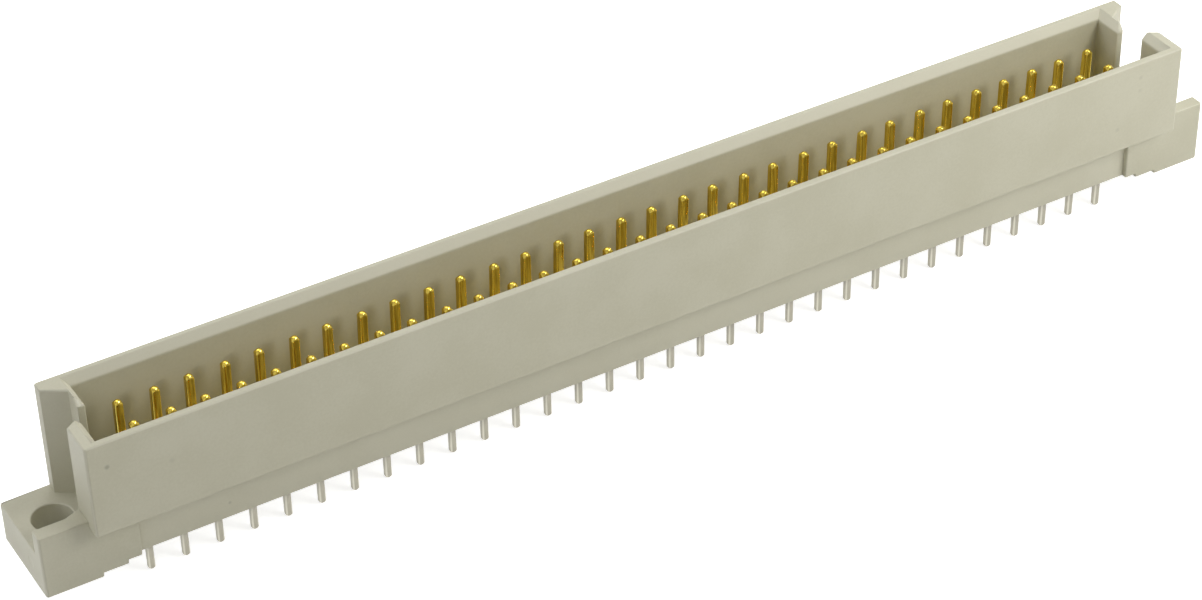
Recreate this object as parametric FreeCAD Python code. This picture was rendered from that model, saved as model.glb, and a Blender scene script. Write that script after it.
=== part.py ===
import FreeCAD, Part
import os

# Male board connector: one moulded housing and two rows of straight square contacts.
# All sizes are in millimetres. The frame has +X along the rows, +Y to the back wall and +Z
# in the mating direction. Its origin is midway between the two fixing holes, on the board.

# Contact field
pitch = 2.54                # step between positions along a row
row_spacing = 2.54          # step between the two rows
positions = 32              # contacts in each row
field_offset = 0.60         # the field's middle lies this far in front of the fixing holes

# Cavity that takes the mating half
front_clear = 2.02          # front row to the cavity's front wall
back_clear = 1.58           # back row to the cavity's back wall
wide_clear = 3.25           # last contact to the end of the wide front part
narrow_clear = 2.32         # last contact to the end of the narrow back part
cavity_depth = 6.25         # rim to floor
lead_in_width = 0.55        # bevel inside the rim, across the wall
lead_in_depth = 0.60        # the same bevel, down the wall

# Walls of the shell
front_wall = 1.08
back_wall = 0.95
end_wall = 1.26             # solid ends of the wide part
end_web = 0.58              # thin ends of the narrow part

# Keying groove down the outside of each end, measured along Y from the back face
corner_strip = 0.92         # flat end of the back wall
groove_flare = 1.00         # slanted side of the groove
web_length = 1.33           # outer face of the thin end
slot_width = 1.67           # gap where the groove opens into the cavity
block_bevel_x = 0.75        # bevel on the slot side of the front block
block_bevel_y = 0.50

# Base under the cavity
base_height = 4.80          # underside to cavity floor
overhang = 1.15             # the shell's front stands proud of the base by this
skirt_drop = 1.00           # the proud front reaches this far below the cavity floor
recess_depth = 0.40         # long shallow recess in the base's front
recess_clear = 1.15         # last contact to the end of that recess

# Underside, from the feet on the board up to the middle
foot_inset = 0.58           # shell end to the first step
first_step = 0.30
step_run = 1.80             # first step to the second
second_step = 0.30

# Flanges
flange_reach = 3.50         # shell end to flange end
flange_height = 3.10        # board to flange top
hole_reach = 1.10           # shell end to the centre of the fixing hole
hole_diameter = 2.80
lip_width = 1.10            # lip along the flange's front edge, which stops a nut from turning
lip_rise = 1.90
lip_flare_x = 1.20          # the lip widens to meet the shell
lip_flare_y = 0.46

# Softened edges of the moulding
corner_round = 0.20         # upright corners
rim_bevel = 0.10            # outer edge of the rim

# Contacts
pin_side = 0.60
pin_height = 4.60           # cavity floor to tip
tip_round = 0.25
collar_width = 0.90         # press-in collar, along X
collar_length = 1.80
collar_seat = 2.35          # underside to the step that the collar stops on
tail_side = 0.50
tail_drop = 2.50            # board to the end of the solder tail
tail_bevel = 0.15           # pointed end of the tail
hole_clear = 0.02           # all round a contact in its hole

# Derived places along Z
underside_z = first_step + second_step
floor_z = underside_z + base_height
rim_z = floor_z + cavity_depth
skirt_z = floor_z - skirt_drop
lip_z = flange_height + lip_rise
seat_z = underside_z + collar_seat

# Derived places along X
field_half = (positions - 1) * pitch / 2
wide_half = field_half + wide_clear
narrow_half = field_half + narrow_clear
web_half = narrow_half + end_web
shell_half = wide_half + end_wall
recess_half = field_half + recess_clear
hole_x = shell_half + hole_reach
flange_half = shell_half + flange_reach
first_step_half = shell_half - foot_inset
second_step_half = first_step_half - step_run

# Derived places along Y
front_row_y = -field_offset - row_spacing / 2
back_row_y = -field_offset + row_spacing / 2
cavity_front_y = front_row_y - front_clear
cavity_back_y = back_row_y + back_clear
front_y = cavity_front_y - front_wall
back_y = cavity_back_y + back_wall
base_front_y = front_y + overhang
strip_y = back_y - corner_strip
groove_back_y = strip_y - groove_flare
slot_back_y = groove_back_y - web_length
slot_front_y = slot_back_y - slot_width

# How far a cutting tool runs past the face that it cuts
past = 1.0


def point(x, y, z):
    return FreeCAD.Vector(x, y, z)


def face(outline, z):
    """Flat face at height z from the (x, y) corners of an outline."""
    corners = [point(x, y, z) for x, y in outline]
    return Part.Face(Part.makePolygon(corners + corners[:1]))


def prism(outline, low, high):
    return face(outline, low).extrude(point(0, 0, high - low))


def box(x0, x1, y0, y1, z0, z1):
    return prism([(x0, y0), (x1, y0), (x1, y1), (x0, y1)], z0, z1)


def rounded_prism(outline, low, high, corners):
    """Prism whose upright edges on the given (x, y) corners are rounded."""
    solid = prism(outline, low, high)
    return solid.makeFillet(corner_round, upright_edges(solid, corners))


def both_ends(chain):
    """Closed outline from the corners of the +X end, front to back, and their mirror image."""
    return chain + [(-x, y) for x, y in reversed(chain)]


def upright_edges(solid, corners):
    """Edges along Z that stand on the given (x, y) corners."""
    found = []
    for edge in solid.Edges:
        a, b = edge.Vertexes[0].Point, edge.Vertexes[-1].Point
        if abs(a.x - b.x) > 1e-6 or abs(a.y - b.y) > 1e-6:
            continue
        if any(abs(a.x - x) < 1e-6 and abs(a.y - y) < 1e-6 for x, y in corners):
            found.append(edge)
    return found


def edges_at(solid, z):
    """Edges that lie wholly at one height."""
    return [edge for edge in solid.Edges
            if all(abs(vertex.Point.z - z) < 1e-6 for vertex in edge.Vertexes)]


# Shell

def shell_outline(front):
    """Plan of the shell: keyed at both ends by the groove that opens into the cavity."""
    return both_ends([
        (shell_half, front),
        (shell_half, slot_front_y - block_bevel_y),
        (shell_half - block_bevel_x, slot_front_y),
        (web_half, slot_front_y),
        (web_half, groove_back_y),
        (shell_half, strip_y),
        (shell_half, back_y),
    ])


def cavity_outline(grow):
    """Plan of the cavity, with every wall moved back by grow."""
    return both_ends([
        (wide_half + grow, cavity_front_y - grow),
        (wide_half + grow, slot_back_y + grow),
        (narrow_half + grow, slot_back_y + grow),
        (narrow_half + grow, cavity_back_y + grow),
    ])


def bevelled_mouth():
    """Solid that widens upwards from the cavity's walls, with flat slanted sides."""
    low, high = rim_z - lead_in_depth, rim_z + past
    grow = (high - low) * lead_in_width / lead_in_depth
    lower = [point(x, y, low) for x, y in cavity_outline(0)]
    upper = [point(x, y, high) for x, y in cavity_outline(grow)]
    sides = []
    for index in range(len(lower)):
        a, b = lower[index - 1], lower[index]
        c, d = upper[index], upper[index - 1]
        sides.append(Part.Face(Part.makePolygon([a, b, c, d, a])))
    ends = [face(cavity_outline(0), low), face(cavity_outline(grow), high)]
    return Part.makeSolid(Part.makeShell(sides + ends))


def cavity():
    """Keyed pocket with a bevelled mouth."""
    pocket = prism(cavity_outline(0), floor_z, rim_z)
    return pocket.fuse(bevelled_mouth())


def shell():
    """Outer body of the shell, with the proud front that ends above the base."""
    back_corners = [(-shell_half, back_y), (shell_half, back_y)]
    front_corners = [(-shell_half, front_y), (shell_half, front_y)]
    upper = rounded_prism(shell_outline(front_y), skirt_z, rim_z, front_corners + back_corners)
    upper = upper.makeChamfer(rim_bevel, edges_at(upper, rim_z))
    lower = rounded_prism(shell_outline(base_front_y), 0, skirt_z, back_corners)
    return upper.fuse(lower)


# Base and flanges

def flange_plate():
    chain = [(flange_half, base_front_y), (flange_half, back_y)]
    corners = both_ends(chain)
    return rounded_prism(corners, 0, flange_height, corners)


def lip(side):
    """Low wall on the front edge of one flange, flared where it joins the shell."""
    inner = base_front_y + lip_width
    outline = [
        (side * flange_half, base_front_y),
        (side * flange_half, inner),
        (side * (shell_half + lip_flare_x), inner),
        (side * shell_half, inner + lip_flare_y),
        (side * web_half, inner + lip_flare_y),
        (side * web_half, base_front_y),
    ]
    return rounded_prism(outline, flange_height / 2, lip_z, outline[:1])


def fixing_hole(side):
    return Part.makeCylinder(hole_diameter / 2, flange_height + 2 * past,
                             point(side * hole_x, 0, -past))


def underside_steps():
    """Two nested cuts that leave the connector standing on the feet at its ends."""
    low = box(-first_step_half, first_step_half, front_y - past, back_y + past, -past, first_step)
    high = box(-second_step_half, second_step_half, front_y - past, back_y + past,
               -past, underside_z)
    return low.fuse(high)


def front_recess():
    return box(-recess_half, recess_half, base_front_y - past, base_front_y + recess_depth,
               -past, skirt_z)


# Contacts

def contact_hole(x, y):
    """Square hole from the floor down to a wider pocket that takes the collar."""
    half = pin_side / 2 + hole_clear
    wide = collar_width / 2 + hole_clear
    hole = box(x - half, x + half, y - half, y + half, seat_z, floor_z + past)
    pocket = box(x - wide, x + wide, y - half, y + half, -past, seat_z)
    return hole.fuse(pocket)


def square_post(x, y, side, low, high):
    half = side / 2
    return box(x - half, x + half, y - half, y + half, low, high)


def contact(x, y):
    """Pin with a domed tip, press-in collar and solder tail, in one piece."""
    tip_z = floor_z + pin_height
    pin = square_post(x, y, pin_side, seat_z, tip_z)
    pin = pin.makeFillet(tip_round, edges_at(pin, tip_z))
    collar = box(x - collar_width / 2, x + collar_width / 2,
                 y - pin_side / 2, y + pin_side / 2, seat_z - collar_length, seat_z)
    tail = square_post(x, y, tail_side, -tail_drop, seat_z - collar_length)
    tail = tail.makeChamfer(tail_bevel, edges_at(tail, -tail_drop))
    return pin.multiFuse([collar, tail])


def position_x(index):
    return -field_half + index * pitch


# Pieces

def housing():
    body = shell().multiFuse([flange_plate(), lip(-1), lip(1)])
    holes = [contact_hole(position_x(index), y)
             for index in range(positions) for y in (back_row_y, front_row_y)]
    cuts = [cavity(), underside_steps(), front_recess(), fixing_hole(-1), fixing_hole(1)]
    body = body.cut(Part.makeCompound(cuts)).cut(Part.makeCompound(holes))
    return body.removeSplitter()


def contact_pair(index):
    """The two contacts, back row and front row, at one place along the connector."""
    x = position_x(index)
    return Part.makeCompound([contact(x, back_row_y), contact(x, front_row_y)])


os.makedirs("parts", exist_ok=True)
housing().exportStep("parts/housing.step")
for index in range(positions):
    contact_pair(index).exportStep(f"parts/contact_pair_{index + 1:02d}.step")
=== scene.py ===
"""Dresses a straight two-row male board connector and lights it for its picture.

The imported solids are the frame. The housing is a soft-edged copy of its own solid, the
contacts are set out from one modelled contact by a node tree, and both carry finishes that
are made of nodes. +X runs along the rows, +Y goes to the back wall and +Z away from the
board. Blender's lengths are metres, so a size given in millimetres is multiplied by MM.
"""
import logging
import math
from dataclasses import dataclass, field
from enum import Enum
from typing import Any

import bmesh
import bpy
from mathutils import Euler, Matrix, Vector


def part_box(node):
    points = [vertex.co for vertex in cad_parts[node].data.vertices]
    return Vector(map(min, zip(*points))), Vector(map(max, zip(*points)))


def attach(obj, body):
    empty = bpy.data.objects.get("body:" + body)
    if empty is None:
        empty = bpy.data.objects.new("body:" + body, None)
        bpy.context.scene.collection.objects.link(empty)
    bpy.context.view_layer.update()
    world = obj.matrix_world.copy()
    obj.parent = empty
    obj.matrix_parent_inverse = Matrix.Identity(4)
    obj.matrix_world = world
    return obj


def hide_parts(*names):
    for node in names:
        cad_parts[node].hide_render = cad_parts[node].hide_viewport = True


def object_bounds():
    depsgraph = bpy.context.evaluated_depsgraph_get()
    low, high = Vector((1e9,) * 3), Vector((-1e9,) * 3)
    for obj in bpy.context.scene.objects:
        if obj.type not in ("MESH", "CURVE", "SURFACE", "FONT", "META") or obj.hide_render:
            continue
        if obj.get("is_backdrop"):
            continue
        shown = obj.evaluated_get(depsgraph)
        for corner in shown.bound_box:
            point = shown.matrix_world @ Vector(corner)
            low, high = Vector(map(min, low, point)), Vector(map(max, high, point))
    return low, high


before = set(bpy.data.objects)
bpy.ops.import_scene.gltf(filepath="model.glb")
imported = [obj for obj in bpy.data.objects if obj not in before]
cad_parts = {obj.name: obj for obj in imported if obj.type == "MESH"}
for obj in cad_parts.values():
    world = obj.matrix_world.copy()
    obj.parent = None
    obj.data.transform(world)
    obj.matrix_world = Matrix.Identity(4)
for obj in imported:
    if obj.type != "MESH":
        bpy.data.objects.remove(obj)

MM = 0.001
BODY = "root"
HOUSING_NODE = "housing"
CONTACT_PREFIX = "contact_pair_"
LEVEL_NORMAL = 0.999
CLEAR_OF_RIM = 1.0 * MM

log = logging.getLogger("connector")

Colour = tuple[float, float, float]
Place = tuple[float, float, float]
Term = Any

WHITE: Colour = (1.0, 1.0, 1.0)
COOL: Colour = (0.97, 0.99, 1.07)


class Signal:
    """One output socket of a node, on which Python's operators add more nodes."""

    def __init__(self, graph: "Graph", socket: bpy.types.NodeSocket) -> None:
        """Wraps a socket.

        Args:
            graph: The tree that the socket belongs to.
            socket: The output socket.
        """
        self.graph = graph
        self.socket = socket

    def __add__(self, other: Term) -> "Signal":
        """self + other."""
        return self.graph.combine("ADD", self, other)

    def __radd__(self, other: Term) -> "Signal":
        """other + self."""
        return self.graph.combine("ADD", other, self)

    def __sub__(self, other: Term) -> "Signal":
        """self - other."""
        return self.graph.combine("SUBTRACT", self, other)

    def __rsub__(self, other: Term) -> "Signal":
        """other - self."""
        return self.graph.combine("SUBTRACT", other, self)

    def __mul__(self, other: Term) -> "Signal":
        """self * other."""
        return self.graph.combine("MULTIPLY", self, other)

    def __rmul__(self, other: Term) -> "Signal":
        """other * self."""
        return self.graph.combine("MULTIPLY", other, self)

    def __truediv__(self, other: Term) -> "Signal":
        """self / other."""
        return self.graph.combine("DIVIDE", self, other)

    def __rtruediv__(self, other: Term) -> "Signal":
        """other / self."""
        return self.graph.combine("DIVIDE", other, self)


class Graph:
    """A node tree that is written as Python expressions."""

    def __init__(self, tree: bpy.types.NodeTree) -> None:
        """Takes an empty node tree.

        Args:
            tree: The tree that gets the nodes.
        """
        self.tree = tree

    @staticmethod
    def socket(sockets: Any, key: str | int) -> bpy.types.NodeSocket:
        """Finds a socket by its index, its identifier or its name.

        Args:
            sockets: A node's inputs or outputs.
            key: The index, identifier or name.

        Returns:
            The socket.
        """
        if isinstance(key, int):
            return sockets[key]
        by_identifier = [s for s in sockets if s.identifier == key]
        return by_identifier[0] if by_identifier else sockets[key]

    def feed(self, socket: bpy.types.NodeSocket, value: Term) -> None:
        """Links a signal to an input, or sets the input to a plain value.

        Args:
            socket: The input.
            value: A Signal, a number, a vector, a colour or a name.
        """
        if isinstance(value, Signal):
            self.tree.links.new(value.socket, socket)
        elif socket.type == "RGBA" and len(value) == 3:
            socket.default_value = (*value, 1.0)
        elif socket.type == "VECTOR" and isinstance(value, (int, float)):
            socket.default_value = (value, value, value)
        else:
            socket.default_value = value

    def add(self, kind: str, settings: dict[str, Any] | None = None,
            inputs: dict[str | int, Term] | None = None) -> bpy.types.Node:
        """Adds one node.

        Args:
            kind: The node's type.
            settings: Properties, set before the inputs.
            inputs: Values or signals for the inputs.

        Returns:
            The node.
        """
        made = self.tree.nodes.new(kind)
        for name, value in (settings or {}).items():
            setattr(made, name, value)
        for key, value in (inputs or {}).items():
            self.feed(self.socket(made.inputs, key), value)
        return made

    def node(self, kind: str, output: str | int = 0, settings: dict[str, Any] | None = None,
             inputs: dict[str | int, Term] | None = None) -> Signal:
        """Adds one node for the sake of one of its outputs.

        Args:
            kind: The node's type.
            output: Which output is wanted.
            settings: Properties, set before the inputs.
            inputs: Values or signals for the inputs.

        Returns:
            The wanted output.
        """
        return Signal(self, self.socket(self.add(kind, settings, inputs).outputs, output))

    def combine(self, operation: str, left: Term, right: Term) -> Signal:
        """Joins two terms with a Math node, or with a Vector Math node if one is no number.

        Args:
            operation: The node's operation.
            left: The first term.
            right: The second term.

        Returns:
            The result.
        """
        if self.is_number(left) and self.is_number(right):
            return self.node("ShaderNodeMath", 0, {"operation": operation}, {0: left, 1: right})
        return self.node("ShaderNodeVectorMath", 0, {"operation": operation},
                         {0: self.as_vector(left), 1: self.as_vector(right)})

    @staticmethod
    def is_number(term: Term) -> bool:
        """Tells whether a term is a plain number or a number's signal."""
        if isinstance(term, Signal):
            return term.socket.type in {"VALUE", "INT", "BOOLEAN"}
        return isinstance(term, (int, float))

    @staticmethod
    def as_vector(term: Term) -> Term:
        """Writes a plain number as a vector of three, and leaves anything else."""
        return (term, term, term) if isinstance(term, (int, float)) else term

    def function(self, operation: str, *terms: Term) -> Signal:
        """Adds a Math node for any operation, such as MODULO or MAXIMUM."""
        return self.node("ShaderNodeMath", 0, {"operation": operation},
                         dict(enumerate(terms)))

    def mix(self, share: Term, first: Term, second: Term) -> Signal:
        """Blends two colours.

        Args:
            share: 0 for the first colour, 1 for the second.
            first: A colour or its signal.
            second: A colour or its signal.

        Returns:
            The blended colour.
        """
        return self.node("ShaderNodeMix", "Result_Color", {"data_type": "RGBA"},
                         {"Factor_Float": share, "A_Color": first, "B_Color": second})

    def ramp(self, value: Term, low: Term, high: Term, start: float = 0.0,
             end: float = 1.0) -> Signal:
        """Smooth step from start to end as a value goes from low to high.

        Args:
            value: The signal that is read.
            low: Value at which the result is start.
            high: Value at which the result is end.
            start: First result.
            end: Last result.

        Returns:
            The stepped signal.
        """
        return self.node("ShaderNodeMapRange", 0, {"interpolation_type": "SMOOTHSTEP"},
                         {"Value": value, "From Min": low, "From Max": high,
                          "To Min": start, "To Max": end})

    def parts(self, vector: Term) -> tuple[Signal, Signal, Signal]:
        """Splits a vector into its X, Y and Z."""
        x, y, z = self.add("ShaderNodeSeparateXYZ", None, {0: vector}).outputs
        return Signal(self, x), Signal(self, y), Signal(self, z)


class Shader(Graph):
    """The node tree of one material."""

    def __init__(self, name: str) -> None:
        """Makes an empty material.

        Args:
            name: The material's name.
        """
        self.material = bpy.data.materials.new(name)
        self.material.use_nodes = True
        super().__init__(self.material.node_tree)
        self.tree.nodes.clear()

    def place(self) -> Signal:
        """Object coordinates, in metres."""
        return self.node("ShaderNodeTexCoord", "Object")

    def noise(self, place: Term, grains_per_mm: float, detail: float = 2.0,
              roughness: float = 0.5) -> Signal:
        """Soft noise from 0 to 1 with a mean of one half.

        Args:
            place: Where it is read, in metres.
            grains_per_mm: How fine it is.
            detail: Number of finer layers.
            roughness: Strength of the finer layers.

        Returns:
            The noise.
        """
        return self.node("ShaderNodeTexNoise", "Fac", {"noise_dimensions": "3D"},
                         {"Vector": place, "Scale": grains_per_mm / MM, "Detail": detail,
                          "Roughness": roughness})

    def distance(self, place: Term, other: Term) -> Signal:
        """Distance between two places."""
        return self.node("ShaderNodeVectorMath", "Value", {"operation": "DISTANCE"},
                         {0: place, 1: other})

    def bump(self, height: Signal, depth: float) -> Signal:
        """Normal of a surface that a height from 0 to 1 raises by up to a depth."""
        return self.node("ShaderNodeBump", 0, None,
                         {"Height": height, "Distance": depth, "Strength": 1.0})

    def surface(self, shader: Signal) -> bpy.types.Material:
        """Joins a shader to the material's output and returns the material."""
        self.add("ShaderNodeOutputMaterial", None, {"Surface": shader})
        return self.material


@dataclass(frozen=True)
class Speck:
    """A dark inclusion just under the skin of the moulding."""

    place: Place
    radius: float
    strength: float
    core: float = 0.2

    def mask(self, shader: Shader, place: Signal) -> Signal:
        """Strength in the speck's core, falling to 0 at its radius.

        Args:
            shader: The shader tree that gets the nodes.
            place: Object coordinates.

        Returns:
            The mask.
        """
        return shader.ramp(shader.distance(place, self.place), self.core * self.radius,
                           self.radius, self.strength, 0.0)


@dataclass(frozen=True)
class MouldedPlastic:
    """Beige-grey glass-filled polyester, moulded in a finely eroded tool."""

    name: str = "moulded_plastic"
    colour: Colour = (0.520, 0.500, 0.379)
    dark_colour: Colour = (0.482, 0.461, 0.340)
    # Paler colour painted as a highlight along the rounded edges, and as painted light on the
    # base's front recess.
    painted_light_colour: Colour = (0.600, 0.578, 0.455)
    speck_colour: Colour = (0.135, 0.130, 0.100)
    mottle_per_mm: float = 0.22
    mottle_share: float = 0.6
    fibre_per_mm: float = 5.0
    cloud_span: tuple[float, float] = (0.35, 0.65)
    grain_per_mm: float = 14.0
    grain_depth: float = 0.004 * MM
    ripple_per_mm: float = 0.35
    ripple_share: float = 3.0
    roughness: float = 0.50
    roughness_swing: float = 0.10
    scatter_per_mm: float = 0.30
    scatter_size: float = 0.020
    scatter_core: float = 0.3
    scatter_share: float = 0.72
    scatter_strength: float = 0.35
    specks: tuple[Speck, ...] = (
        Speck((-42.52 * MM, -4.97 * MM, 9.74 * MM), 0.26 * MM, 0.42),
        Speck((-38.16 * MM, -4.97 * MM, 8.39 * MM), 0.30 * MM, 0.12),
        Speck((-33.94 * MM, -3.42 * MM, 1.83 * MM), 0.17 * MM, 0.30),
        Speck((40.06 * MM, -4.97 * MM, 10.39 * MM), 0.26 * MM, 0.13),
        Speck((40.10 * MM, -4.97 * MM, 9.25 * MM), 0.26 * MM, 0.11),
        Speck((38.29 * MM, -4.97 * MM, 6.43 * MM), 0.26 * MM, 0.16),
    )
    gate_place: Place = (-47.38 * MM, -1.65 * MM, 1.60 * MM)
    gate_radius: float = 0.48 * MM
    gate_core: float = 0.55
    gate_share: float = 9.0
    # Painted highlight along the rounded edges.
    edge_highlight_share: float = 0.60
    edge_highlight_span: tuple[float, float] = (0.03, 0.24)
    # Painted light on the base's front recess, lifting the shade under the shell's overhang.
    recess_light_share: float = 0.33
    recess_half: float = 40.50 * MM
    recess_span: tuple[float, float] = (-3.62 * MM, -3.20 * MM)
    recess_top: float = 4.40 * MM

    def edges(self, shader: Shader) -> Signal:
        """Share of the painted light colour: a painted highlight, high where the skin turns
        from one flat to the next.

        Args:
            shader: The shader tree that gets the nodes.

        Returns:
            The share, from 0 to edge_highlight_share.
        """
        axes = shader.parts(shader.node("ShaderNodeNewGeometry", "Normal"))
        x, y, z = (shader.function("ABSOLUTE", axis) for axis in axes)
        flat = shader.function("MAXIMUM", shader.function("MAXIMUM", x, y), z)
        return shader.ramp(1.0 - flat, *self.edge_highlight_span, 0.0, self.edge_highlight_share)

    def recess(self, shader: Shader, place: Signal) -> Signal:
        """Share of the painted light colour on the base's long front recess: painted light that
        lifts the shade under the shell's overhang.

        Args:
            shader: The shader tree that gets the nodes.
            place: Object coordinates.

        Returns:
            The share: recess_light_share on the recess, and 0 elsewhere.
        """
        x, y, z = shader.parts(place)
        front, back = self.recess_span
        along = shader.function("LESS_THAN", shader.function("ABSOLUTE", x), self.recess_half)
        below = shader.function("LESS_THAN", z, self.recess_top)
        across = (shader.function("GREATER_THAN", y, front)
                  * shader.function("LESS_THAN", y, back))
        return along * below * across * self.recess_light_share

    def dirt(self, shader: Shader, place: Signal) -> Signal:
        """Share of the speck colour: the marked inclusions, and fine ones scattered between.

        Args:
            shader: The shader tree that gets the nodes.
            place: Object coordinates.

        Returns:
            The share, from 0 to 1.
        """
        cells = shader.add("ShaderNodeTexVoronoi", {"voronoi_dimensions": "3D"},
                           {"Vector": place, "Scale": self.scatter_per_mm / MM}).outputs
        near, chance = Signal(shader, cells["Distance"]), Signal(shader, cells["Color"])
        fine = (shader.ramp(near, self.scatter_core * self.scatter_size, self.scatter_size,
                            self.scatter_strength, 0.0)
                * shader.function("GREATER_THAN", shader.parts(chance)[0], self.scatter_share))
        for speck in self.specks:
            fine = shader.function("MAXIMUM", fine, speck.mask(shader, place))
        return fine

    def relief(self, shader: Shader, place: Signal) -> Signal:
        """Height of the skin: the tool's grain, slow ripples and the mark left by the gate.

        Args:
            shader: The shader tree that gets the nodes.
            place: Object coordinates.

        Returns:
            The height, in grain depths.
        """
        grain = shader.noise(place, self.grain_per_mm, detail=2.0)
        ripple = shader.noise(place, self.ripple_per_mm, detail=1.0)
        gate = shader.distance(place, self.gate_place)
        dimple = shader.ramp(gate, self.gate_core * self.gate_radius, self.gate_radius,
                             -self.gate_share, 0.0)
        return grain + ripple * self.ripple_share + dimple

    def material(self) -> bpy.types.Material:
        """Builds the material.

        Returns:
            The material.
        """
        shader = Shader(self.name)
        place = shader.place()
        mottle = shader.noise(place, self.mottle_per_mm, detail=3.0)
        fibres = shader.noise(place, self.fibre_per_mm, detail=3.0, roughness=0.6)
        cloud = mottle * self.mottle_share + fibres * (1.0 - self.mottle_share)
        share = shader.ramp(cloud, *self.cloud_span)
        clean = shader.mix(share, self.dark_colour, self.colour)
        # Painted highlight on the edges, and painted light that lifts the shade on the front
        # recess.
        painted_light_share = shader.function("MAXIMUM", self.edges(shader), self.recess(shader, place))
        clean = shader.mix(painted_light_share, clean, self.painted_light_colour)
        principled = shader.node("ShaderNodeBsdfPrincipled", "BSDF", None, {
            "Base Color": shader.mix(self.dirt(shader, place), clean, self.speck_colour),
            "Roughness": self.roughness + (fibres - 0.5) * self.roughness_swing,
            "Normal": shader.bump(self.relief(shader, place), self.grain_depth),
        })
        return shader.surface(principled)


@dataclass(frozen=True)
class PlatedContact:
    """Drawn copper alloy, gold plated where it mates and tinned where it is soldered."""

    name: str = "plated_contact"
    gold: Colour = (0.96, 0.71, 0.12)
    deep_gold: Colour = (0.60, 0.43, 0.06)
    # Brighter gold and tin along the upright edges are a painted highlight.
    highlight_gold: Colour = (1.00, 0.83, 0.20)
    tin: Colour = (0.44, 0.42, 0.345)
    dull_tin: Colour = (0.365, 0.345, 0.28)
    highlight_tin: Colour = (0.62, 0.60, 0.51)
    gold_roughness: float = 0.18
    tin_roughness: float = 0.36
    roughness_swing: float = 0.12
    change_z: float = 1.2 * MM
    change_run: float = 0.5 * MM
    draw_per_mm: float = 7.0
    draw_stretch: float = 0.06
    draw_depth: float = 0.004 * MM
    line_span: tuple[float, float] = (0.38, 0.62)
    cloud_per_mm: float = 1.3
    highlight_span: tuple[float, float] = (0.18, 0.42)

    def edge_highlights(self, shader: Shader) -> Signal:
        """Share of the painted highlight colour: 0 on the flats and 1 along the coined upright
        edges.

        Args:
            shader: The shader tree that gets the nodes.

        Returns:
            The share.
        """
        x, y, _ = shader.parts(shader.node("ShaderNodeNewGeometry", "Normal"))
        return shader.ramp(shader.function("ABSOLUTE", x * y), *self.highlight_span)

    def material(self) -> bpy.types.Material:
        """Builds the material.

        Returns:
            The material.
        """
        shader = Shader(self.name)
        place = shader.place()
        height = shader.parts(place)[2]
        along = place * (1.0, 1.0, self.draw_stretch)
        drawn = shader.noise(along, self.draw_per_mm, detail=3.0)
        cloud = shader.noise(place, self.cloud_per_mm, detail=2.0)
        plated = shader.ramp(height, self.change_z, self.change_z + self.change_run)
        # Painted highlight along the upright edges.
        highlight_share = self.edge_highlights(shader)
        lines = shader.ramp(drawn, *self.line_span)
        gold = shader.mix(highlight_share, shader.mix(lines, self.deep_gold, self.gold), self.highlight_gold)
        tin = shader.mix(highlight_share, shader.mix(cloud, self.dull_tin, self.tin), self.highlight_tin)
        roughness = (self.tin_roughness + plated * (self.gold_roughness - self.tin_roughness)
                     + (drawn - 0.5) * self.roughness_swing)
        principled = shader.node("ShaderNodeBsdfPrincipled", "BSDF", None, {
            "Base Color": shader.mix(plated, tin, gold),
            "Metallic": 1.0,
            "Roughness": roughness,
            "Normal": shader.bump(drawn, self.draw_depth),
        })
        return shader.surface(principled)


@dataclass(frozen=True)
class StudioFloor:
    """White sweep that shows as plain white to the camera and keeps the soft shadow."""

    name: str = "studio_floor"
    colour: Colour = (0.72, 0.72, 0.72)
    glow: float = 0.75

    def material(self) -> bpy.types.Material:
        """Builds the material.

        Returns:
            The material, with a glow that only the camera, gloss and glass see.
        """
        shader = Shader(self.name)
        diffuse = shader.node("ShaderNodeBsdfDiffuse", 0, None, {"Color": self.colour})
        glow = shader.node("ShaderNodeEmission", 0, None,
                           {"Color": WHITE, "Strength": self.glow})
        lit = shader.node("ShaderNodeAddShader", 0, None, {0: diffuse, 1: glow})
        seen = seen_directly(shader)
        mixed = shader.node("ShaderNodeMixShader", 0, None, {0: seen, 1: diffuse, 2: lit})
        return shader.surface(mixed)


def seen_directly(graph: Graph) -> Signal:
    """1 for rays from the camera, off a mirror or through glass, and 0 for light that spreads.

    Args:
        graph: The shader tree that gets the nodes.

    Returns:
        The mask.
    """
    kinds = ("Is Camera Ray", "Is Glossy Ray", "Is Transmission Ray")
    rays = graph.add("ShaderNodeLightPath").outputs
    camera, glossy, through = (Signal(graph, rays[kind]) for kind in kinds)
    return graph.function("MAXIMUM", graph.function("MAXIMUM", camera, glossy), through)


def seen_in_gloss(graph: Graph) -> Signal:
    """1 for rays that come off a mirror, and 0 for all others."""
    return graph.node("ShaderNodeLightPath", "Is Glossy Ray")


def link(thing: bpy.types.Object) -> bpy.types.Object:
    """Puts an object in the scene and returns it."""
    bpy.context.scene.collection.objects.link(thing)
    return thing


def baked(source: bpy.types.Object, name: str) -> bpy.types.Object:
    """Turns an object with its modifiers into one with a plain mesh, and removes the first.

    Args:
        source: The object, which stands at the origin.
        name: The new object's name.

    Returns:
        The new object.
    """
    bpy.context.view_layer.update()
    graph = bpy.context.evaluated_depsgraph_get()
    mesh = bpy.data.meshes.new_from_object(source.evaluated_get(graph), depsgraph=graph)
    mesh.name = name
    bpy.data.objects.remove(source)
    return link(bpy.data.objects.new(name, mesh))


class Softness(Enum):
    """How far an edge of the moulding is rounded, as a share of its full radius."""

    FULL = 1.0
    RIM = 0.35
    NONE = 0.0


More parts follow.
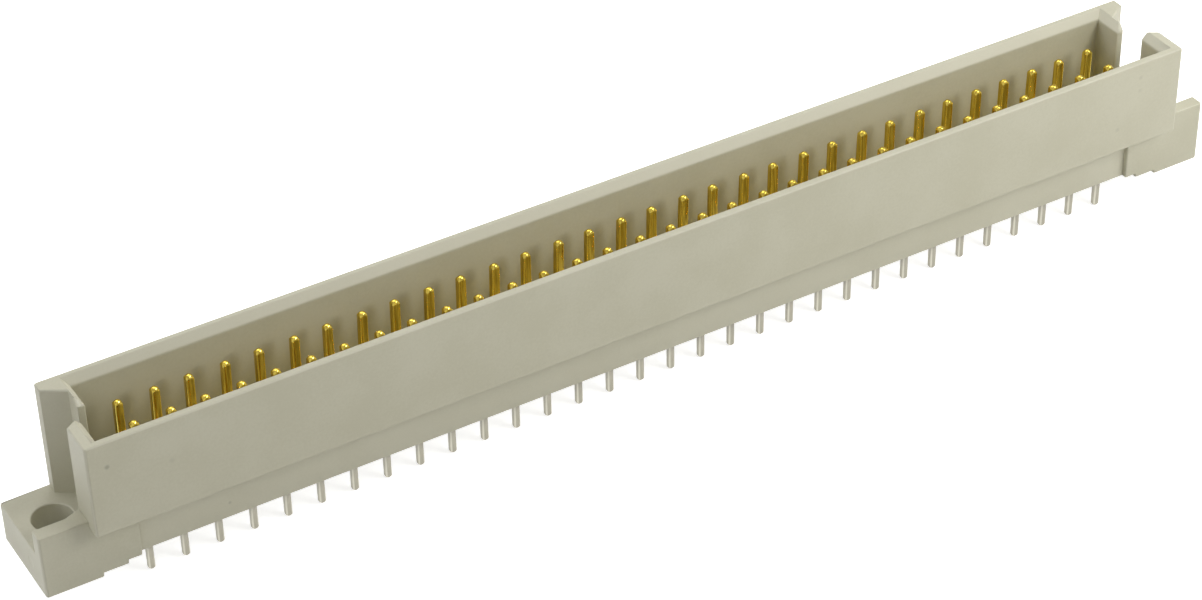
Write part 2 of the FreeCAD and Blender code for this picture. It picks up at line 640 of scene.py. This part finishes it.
@dataclass
class Housing:
    """The one-piece moulding: keyed shell, floor, flanges, lips and feet."""

    finish: MouldedPlastic = field(default_factory=MouldedPlastic)
    name: str = "moulded_housing"
    edge_radius: float = 0.11 * MM
    segments: int = 2
    weld: float = 0.001 * MM
    flat_angle: float = math.radians(0.5)
    edge_angle: float = math.radians(25.0)
    crease_angle: float = math.radians(50.0)
    rim_zone: float = 0.12 * MM
    rim_shortest: float = 1.6 * MM
    hole_zone: float = 0.55 * MM

    def axes(self) -> list[tuple[float, float]]:
        """Plan places of the contacts' middles.

        Returns:
            Pairs of X and Y, in metres.
        """
        places = []
        for name in contact_nodes():
            low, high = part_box(name)
            x = (low.x + high.x) / 2
            half = ContactField.half_depth()
            places += [(x, low.y + half), (x, high.y - half)]
        return places

    def softness(self, edge: bmesh.types.BMEdge, axes: list[tuple[float, float]],
                 rim: float) -> Softness:
        """Chooses how far one edge is rounded.

        Args:
            edge: An edge between two faces.
            axes: Plan places of the contacts, whose holes keep crisp edges.
            rim: Height of the rim.

        Returns:
            The edge's softness.
        """
        if edge.calc_face_angle_signed(0.0) < self.edge_angle:
            return Softness.NONE
        middle = (edge.verts[0].co + edge.verts[1].co) / 2
        for x, y in axes:
            if max(abs(middle.x - x), abs(middle.y - y)) < self.hole_zone:
                return Softness.NONE
        if max(vertex.co.z for vertex in edge.verts) > rim - self.rim_zone:
            return Softness.RIM if edge.calc_length() > self.rim_shortest else Softness.NONE
        return Softness.FULL

    def soften(self, source: bpy.types.Object) -> bpy.types.Object:
        """Rounds the edges of a welded copy of the solid.

        Args:
            source: The CAD object, which is left as it is.

        Returns:
            The softened object.
        """
        shape = bmesh.new()
        shape.from_mesh(source.data)
        bmesh.ops.remove_doubles(shape, verts=shape.verts, dist=self.weld)
        bmesh.ops.dissolve_limit(shape, angle_limit=self.flat_angle, verts=shape.verts,
                                 edges=shape.edges)
        weights = shape.edges.layers.float.new("bevel_weight_edge")
        axes = self.axes()
        rim = max(vertex.co.z for vertex in shape.verts)
        for face in shape.faces:
            face.smooth = True
        for edge in shape.edges:
            softness = self.softness(edge, axes, rim)
            edge[weights] = softness.value
            hard = abs(edge.calc_face_angle_signed(0.0)) > self.edge_angle
            edge.smooth = not (hard and softness is Softness.NONE)
        mesh = bpy.data.meshes.new(self.name)
        shape.to_mesh(mesh)
        shape.free()
        copy = link(bpy.data.objects.new(self.name + "_plain", mesh))
        bevel = copy.modifiers.new("soft_edges", "BEVEL")
        bevel.limit_method = "WEIGHT"
        bevel.width = self.edge_radius
        bevel.segments = self.segments
        bevel.use_clamp_overlap = False
        bevel.miter_outer = "MITER_ARC"
        softened = baked(copy, self.name + "_rounded")
        self.keep_inside(softened.data, *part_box(HOUSING_NODE))
        return self.flatten(softened)

    def flatten(self, rounded: bpy.types.Object) -> bpy.types.Object:
        """Gives the wide faces flat shading, so that only the rounded edges shade smoothly.

        Args:
            rounded: The housing with its rounded edges.

        Returns:
            The same shape with the shading fixed.
        """
        shape = bmesh.new()
        shape.from_mesh(rounded.data)
        for face in shape.faces:
            face.smooth = True
        for edge in shape.edges:
            edge.smooth = abs(edge.calc_face_angle_signed(0.0)) < self.crease_angle
        shape.to_mesh(rounded.data)
        shape.free()
        shading = rounded.modifiers.new("flat_faces", "WEIGHTED_NORMAL")
        shading.mode = "FACE_AREA"
        shading.weight = 100
        shading.keep_sharp = True
        return baked(rounded, self.name)

    @staticmethod
    def keep_inside(mesh: bpy.types.Mesh, low: Vector, high: Vector) -> None:
        """Draws in any point that a rounded corner has pushed past the solid's own box.

        Args:
            mesh: The softened mesh.
            low: Lowest corner of the box.
            high: Highest corner of the box.
        """
        for vertex in mesh.vertices:
            vertex.co = [min(max(value, least), most)
                         for value, least, most in zip(vertex.co, low, high)]

    def build(self) -> bpy.types.Object:
        """Makes the moulding, dresses it and puts it in place of its solid.

        Returns:
            The finished piece.
        """
        piece = self.soften(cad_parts[HOUSING_NODE])
        piece.data.materials.clear()
        piece.data.materials.append(self.finish.material())
        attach(piece, BODY)
        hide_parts(HOUSING_NODE)
        return piece


def contact_nodes() -> list[str]:
    """Names of the CAD nodes that hold the contacts, in order along the connector."""
    return sorted(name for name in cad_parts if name.startswith(CONTACT_PREFIX))


@dataclass(frozen=True)
class Level:
    """One level of a contact: a rectangle with rounded corners."""

    z: float
    half_x: float
    half_y: float
    corner: float


@dataclass
class Contact:
    """One straight contact: domed pin, press-in collar and solder tail."""

    tip_z: float
    end_z: float
    pin_half: float = 0.30 * MM
    collar_half: float = 0.45 * MM
    tail_half: float = 0.25 * MM
    collar_top: float = 2.95 * MM
    collar_length: float = 1.80 * MM
    coined_corner: float = 0.11 * MM
    stamped_corner: float = 0.05 * MM
    tail_corner: float = 0.15 * MM
    dome_height: float = 0.27 * MM
    dome_flat: float = 0.02 * MM
    tail_round: float = 0.20 * MM
    end_run: float = 0.04 * MM
    dome_steps: int = 8
    dome_blend: float = 2.0
    corner_steps: int = 4
    least_corner: float = 0.002 * MM
    crease_angle: float = math.radians(50.0)

    def dome(self, half: float, corner: float, start: float, height: float) -> list[Level]:
        """Levels of a rounded end.

        Args:
            half: Half the width where the dome starts.
            corner: Corner radius there.
            start: Height where it starts.
            height: Rise of the dome, negative at a lower end.

        Returns:
            The levels, from the start outwards.
        """
        levels = []
        for step in range(1, self.dome_steps + 1):
            turn = math.pi / 2 * step / self.dome_steps
            width = self.dome_flat + (half - self.dome_flat) * math.cos(turn)
            blend = min(1.0, self.dome_blend * step / self.dome_steps)
            round_corner = min(width, corner + (half - corner) * blend)
            levels.append(Level(start + height * math.sin(turn), width, width, round_corner))
        return levels

    def levels(self) -> list[Level]:
        """Every level of the contact, from the tail's end to the pin's tip.

        Returns:
            The levels in rising order.
        """
        soft = self.stamped_corner
        low = self.collar_top - self.collar_length
        tail_start = self.end_z + self.tail_round
        tail_end = self.dome(self.tail_half, self.tail_corner, tail_start, -self.tail_round)
        pin_end = self.tip_z - self.dome_height
        return [
            *reversed(tail_end),
            Level(tail_start, self.tail_half, self.tail_half, self.tail_corner),
            Level(tail_start + self.end_run, self.tail_half, self.tail_half, self.tail_corner),
            Level(low, self.tail_half, self.tail_half, self.tail_corner),
            Level(low, self.collar_half - soft, self.pin_half - soft, soft),
            Level(low + soft, self.collar_half, self.pin_half, soft),
            Level(self.collar_top - soft, self.collar_half, self.pin_half, soft),
            Level(self.collar_top, self.collar_half - soft, self.pin_half, soft),
            Level(self.collar_top, self.pin_half, self.pin_half, self.coined_corner),
            Level(pin_end - self.end_run, self.pin_half, self.pin_half, self.coined_corner),
            Level(pin_end, self.pin_half, self.pin_half, self.coined_corner),
            *self.dome(self.pin_half, self.coined_corner, pin_end, self.dome_height),
        ]

    def outline(self, level: Level) -> list[Vector]:
        """Corner points of one level, anticlockwise from +X.

        Args:
            level: The level.

        Returns:
            The points, as many at every level.
        """
        radius = max(level.corner, self.least_corner)
        points = []
        for quarter in range(4):
            side_x = 1 if quarter in (0, 3) else -1
            side_y = 1 if quarter in (0, 1) else -1
            centre_x = side_x * (level.half_x - radius)
            centre_y = side_y * (level.half_y - radius)
            for step in range(self.corner_steps + 1):
                turn = math.pi / 2 * (quarter + step / self.corner_steps)
                points.append(Vector((centre_x + radius * math.cos(turn),
                                      centre_y + radius * math.sin(turn), level.z)))
        return points

    def mesh(self) -> bpy.types.Mesh:
        """Lofts the levels into one closed mesh.

        Returns:
            The mesh, with its axis on Z.
        """
        shape = bmesh.new()
        rings = [[shape.verts.new(point) for point in self.outline(level)]
                 for level in self.levels()]
        count = len(rings[0])
        for lower, upper in zip(rings, rings[1:]):
            for index in range(count):
                after = (index + 1) % count
                shape.faces.new((lower[index], lower[after], upper[after], upper[index]))
        shape.faces.new(list(reversed(rings[0])))
        shape.faces.new(rings[-1])
        for face in shape.faces:
            face.smooth = True
        for edge in shape.edges:
            edge.smooth = abs(edge.calc_face_angle_signed(0.0)) < self.crease_angle
        mesh = bpy.data.meshes.new("contact")
        shape.to_mesh(mesh)
        shape.free()
        return mesh


@dataclass
class ContactField:
    """The two rows of contacts, set out by a node tree."""

    finish: PlatedContact = field(default_factory=PlatedContact)
    name: str = "plated_contacts"
    rows: int = 2
    lean: float = 0.14 * MM
    stagger: float = 0.045 * MM
    wander: float = 0.02 * MM
    seed: int = 4

    @staticmethod
    def half_depth() -> float:
        """Half a contact's size across the rows."""
        return Contact.pin_half

    def modifier_inputs(self, contact: bpy.types.Object) -> dict[str, Any]:
        """Works out the tree's inputs from the frame.

        Args:
            contact: The object that is repeated.

        Returns:
            Values by input name.
        """
        names = contact_nodes()
        first_low, first_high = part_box(names[0])
        last_low, last_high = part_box(names[-1])
        first_x = (first_low.x + first_high.x) / 2
        last_x = (last_low.x + last_high.x) / 2
        spacing = first_high.y - first_low.y - 2 * self.half_depth()
        floor_z = frame_floor_z()
        return {
            "Contact": contact,
            "Pitch": (last_x - first_x) / (len(names) - 1),
            "Row Spacing": spacing,
            "Positions": len(names),
            "Rows": self.rows,
            "Middle": ((first_x + last_x) / 2, (first_low.y + first_high.y) / 2, 0.0),
            "Floor Height": floor_z,
            "Pin Height": first_high.z - floor_z,
            "Lean": self.lean,
            "Stagger": self.stagger,
            "Wander": self.wander,
            "Seed": self.seed,
            "Finish": self.finish.material(),
        }

    def tree(self) -> bpy.types.NodeTree:
        """Builds the node tree that sets the contacts out and leans their free pins.

        Returns:
            The tree, with named inputs.
        """
        tree = bpy.data.node_groups.new("contact_field", "GeometryNodeTree")
        kinds = {
            "Contact": "NodeSocketObject", "Pitch": "NodeSocketFloat",
            "Row Spacing": "NodeSocketFloat", "Positions": "NodeSocketInt",
            "Rows": "NodeSocketInt", "Middle": "NodeSocketVector",
            "Floor Height": "NodeSocketFloat", "Pin Height": "NodeSocketFloat",
            "Lean": "NodeSocketFloat", "Stagger": "NodeSocketFloat",
            "Wander": "NodeSocketFloat", "Seed": "NodeSocketInt",
            "Finish": "NodeSocketMaterial",
        }
        for name, kind in kinds.items():
            tree.interface.new_socket(name, in_out="INPUT", socket_type=kind)
        tree.interface.new_socket("Geometry", in_out="OUTPUT", socket_type="NodeSocketGeometry")
        graph = Graph(tree)
        entry = graph.add("NodeGroupInput").outputs
        given = {name: Signal(graph, entry[name]) for name in kinds}

        grid = graph.node("GeometryNodeMeshGrid", "Mesh", None, {
            "Size X": given["Pitch"] * (given["Positions"] - 1),
            "Size Y": given["Row Spacing"] * (given["Rows"] - 1),
            "Vertices X": given["Positions"],
            "Vertices Y": given["Rows"],
        })
        placed = graph.node("GeometryNodeTransform", "Geometry", None,
                            {"Geometry": grid, "Translation": given["Middle"]})
        contact = graph.node("GeometryNodeObjectInfo", "Geometry", None,
                             {"Object": given["Contact"]})
        standing = graph.node("GeometryNodeInstanceOnPoints", "Instances", None,
                              {"Points": placed, "Instance": contact})

        index = graph.node("GeometryNodeInputIndex", "Index")
        position = graph.function("FLOOR", index / given["Rows"])
        side = 2 * graph.function("MODULO", position, 2.0) - 1
        drift = graph.node("FunctionNodeRandomValue", "Value_001", {"data_type": "FLOAT"},
                           {"Min_001": -1.0, "Max_001": 1.0, "Seed": given["Seed"]})
        lean = given["Lean"] + side * given["Stagger"] + drift * given["Wander"]
        marked = graph.node("GeometryNodeStoreNamedAttribute", "Geometry",
                            {"data_type": "FLOAT", "domain": "INSTANCE"},
                            {"Geometry": standing, "Name": "lean", "Value": lean})
        real = graph.node("GeometryNodeRealizeInstances", "Geometry", None,
                          {"Geometry": marked})

        height = graph.parts(graph.node("GeometryNodeInputPosition", "Position"))[2]
        free = graph.function("MAXIMUM", height - given["Floor Height"], 0.0)
        stored = graph.node("GeometryNodeInputNamedAttribute", "Attribute",
                            {"data_type": "FLOAT"}, {"Name": "lean"})
        shift = graph.node("ShaderNodeCombineXYZ", 0, None,
                           {"X": stored * free / given["Pin Height"]})
        leaning = graph.node("GeometryNodeSetPosition", "Geometry", None,
                             {"Geometry": real, "Offset": shift})
        dressed = graph.node("GeometryNodeSetMaterial", "Geometry", None,
                             {"Geometry": leaning, "Material": given["Finish"]})
        graph.add("NodeGroupOutput", None, {"Geometry": dressed})
        return tree

    def build(self) -> bpy.types.Object:
        """Makes all the contacts as one mesh and puts them in place of their solids.

        Returns:
            The finished piece.
        """
        names = contact_nodes()
        low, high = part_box(names[0])
        single = Contact(tip_z=high.z, end_z=low.z)
        pattern = link(bpy.data.objects.new("contact_pattern", single.mesh()))
        carrier = link(bpy.data.objects.new("contact_carrier",
                                            bpy.data.meshes.new("contact_carrier")))
        nodes = carrier.modifiers.new("set_out", "NODES")
        nodes.node_group = self.tree()
        inputs = self.modifier_inputs(pattern)
        for item in nodes.node_group.interface.items_tree:
            if item.in_out == "INPUT":
                nodes[item.identifier] = inputs[item.name]
        piece = baked(carrier, self.name)
        bpy.data.objects.remove(pattern)
        lean = piece.data.attributes.get("lean")
        if lean is not None:
            piece.data.attributes.remove(lean)
        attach(piece, BODY)
        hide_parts(*names)
        return piece


def frame_floor_z() -> float:
    """Height of the cavity's floor, read from the housing's own solid.

    Returns:
        The height of the largest level stretch of upward faces between rim and flange.
    """
    low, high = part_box(HOUSING_NODE)
    areas: dict[float, float] = {}
    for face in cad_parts[HOUSING_NODE].data.polygons:
        height = face.center.z
        if face.normal.z > LEVEL_NORMAL and low.z < height < high.z - CLEAR_OF_RIM:
            level = round(height / MM, 2)
            areas[level] = areas.get(level, 0.0) + face.area
    return max(areas, key=areas.get) * MM


@dataclass(frozen=True)
class Softbox:
    """One square studio lamp that points at the connector.

    Its bearing is 0 straight in front of the connector and grows to the right. Only a
    mirrored lamp shows as a highlight in polished metal, and one that is not lighting adds
    nothing but that highlight.
    """

    name: str
    bearing: float
    rise: float
    distance: float
    size: float
    power: float
    colour: Colour = WHITE
    mirrored: bool = False
    lighting: bool = True

    def build(self, target: Vector) -> bpy.types.Object:
        """Adds the lamp.

        Args:
            target: Point that it faces.

        Returns:
            The lamp object.
        """
        lamp = bpy.data.lights.new(self.name, "AREA")
        lamp.shape = "SQUARE"
        lamp.size = self.size
        lamp.energy = self.power
        lamp.color = self.colour
        bearing, rise = math.radians(self.bearing), math.radians(self.rise)
        away = Vector((math.sin(bearing) * math.cos(rise), -math.cos(bearing) * math.cos(rise),
                       math.sin(rise)))
        holder = link(bpy.data.objects.new(self.name, lamp))
        holder.location = target + away * self.distance
        holder.visible_glossy = self.mirrored
        holder.visible_diffuse = self.lighting
        holder.rotation_euler = (-away).to_track_quat("-Z", "Y").to_euler()
        return holder


@dataclass
class Studio:
    """White floor, even surroundings and soft lamps."""

    floor: StudioFloor = field(default_factory=StudioFloor)
    floor_half: float = 2.0
    surroundings: float = 0.10
    mirrored_white: float = 0.60
    lamps: tuple[Softbox, ...] = (
        Softbox("key_lamp", -40.0, 24.0, 0.500, 0.12, 0.228),
        Softbox("left_lamp", -70.0, 12.0, 0.500, 0.16, 0.090, COOL),
        Softbox("left_rear_lamp", -120.0, 37.0, 0.500, 0.30, 0.980, COOL),
        Softbox("rear_lamp", 180.0, 65.0, 0.500, 0.30, 0.590, WHITE, mirrored=True),
        Softbox("high_lamp", 70.0, 59.0, 0.500, 0.07, 0.330, WHITE, mirrored=True),
        Softbox("dome_lamp", 70.0, 59.0, 0.550, 0.20, 2.400, COOL, mirrored=True,
                lighting=False),
        Softbox("right_rear_lamp", 154.0, 41.0, 0.297, 0.15, 0.125),
        Softbox("right_lamp", 60.0, 12.0, 0.200, 0.07, 0.055),
        Softbox("right_front_lamp", 39.0, 36.5, 0.160, 0.07, 0.113),
        Softbox("right_end_lamp", 109.0, 36.0, 0.196, 0.07, 0.055),
    )

    def build_floor(self, height: float) -> bpy.types.Object:
        """Lays the floor under the connector.

        Args:
            height: Height of the floor.

        Returns:
            The floor.
        """
        half = self.floor_half
        mesh = bpy.data.meshes.new("floor")
        corners = [(-half, -half, height), (half, -half, height), (half, half, height),
                   (-half, half, height)]
        mesh.from_pydata(corners, [], [(0, 1, 2, 3)])
        mesh.materials.append(self.floor.material())
        sheet = link(bpy.data.objects.new("floor", mesh))
        sheet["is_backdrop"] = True
        return sheet

    def build_surroundings(self) -> None:
        """Gives the world an even light, and pure white where it is seen directly."""
        world = bpy.data.worlds.new("studio")
        bpy.context.scene.world = world
        world.use_nodes = True
        world.node_tree.nodes.clear()
        graph = Graph(world.node_tree)
        camera, gloss = seen_directly(graph), seen_in_gloss(graph)
        strength = (self.surroundings + camera * (1.0 - self.surroundings)
                    - gloss * (1.0 - self.mirrored_white))
        background = graph.node("ShaderNodeBackground", 0, None,
                                {"Color": WHITE, "Strength": strength})
        graph.add("ShaderNodeOutputWorld", None, {"Surface": background})

    def build(self, low: Vector, high: Vector) -> None:
        """Builds the whole studio round the connector's box.

        Args:
            low: Lowest corner of the box.
            high: Highest corner of the box.
        """
        self.build_floor(low.z)
        self.build_surroundings()
        for lamp in self.lamps:
            lamp.build((low + high) / 2)


@dataclass(frozen=True)
class Camera:
    """The camera of the photograph, as solved from the contacts' places in it."""

    place: Place = (-94.04 * MM, -156.63 * MM, 139.29 * MM)
    tilt: Place = (53.254, 1.029, -30.860)
    focal_mm: float = 96.33
    sensor_mm: float = 36.0
    near: float = 10 * MM
    far: float = 10.0

    def build(self) -> bpy.types.Object:
        """Adds the camera and makes it the scene's.

        Returns:
            The camera object.
        """
        lens = bpy.data.cameras.new("camera")
        lens.lens = self.focal_mm
        lens.sensor_width = self.sensor_mm
        lens.clip_start = self.near
        lens.clip_end = self.far
        holder = link(bpy.data.objects.new("camera", lens))
        holder.location = self.place
        holder.rotation_euler = Euler([math.radians(angle) for angle in self.tilt], "XYZ")
        bpy.context.scene.camera = holder
        return holder


def main() -> None:
    """Builds the pieces, the studio and the camera in order."""
    logging.basicConfig(level=logging.INFO, format="%(name)s: %(message)s")
    bpy.context.scene.view_settings.view_transform = "Standard"
    cad_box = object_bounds()
    for piece in (Housing().build(), ContactField().build()):
        log.info("%s has %d faces", piece.name, len(piece.data.polygons))
    Studio().build(*cad_box)
    Camera().build()


if __name__ == "__main__":
    main()
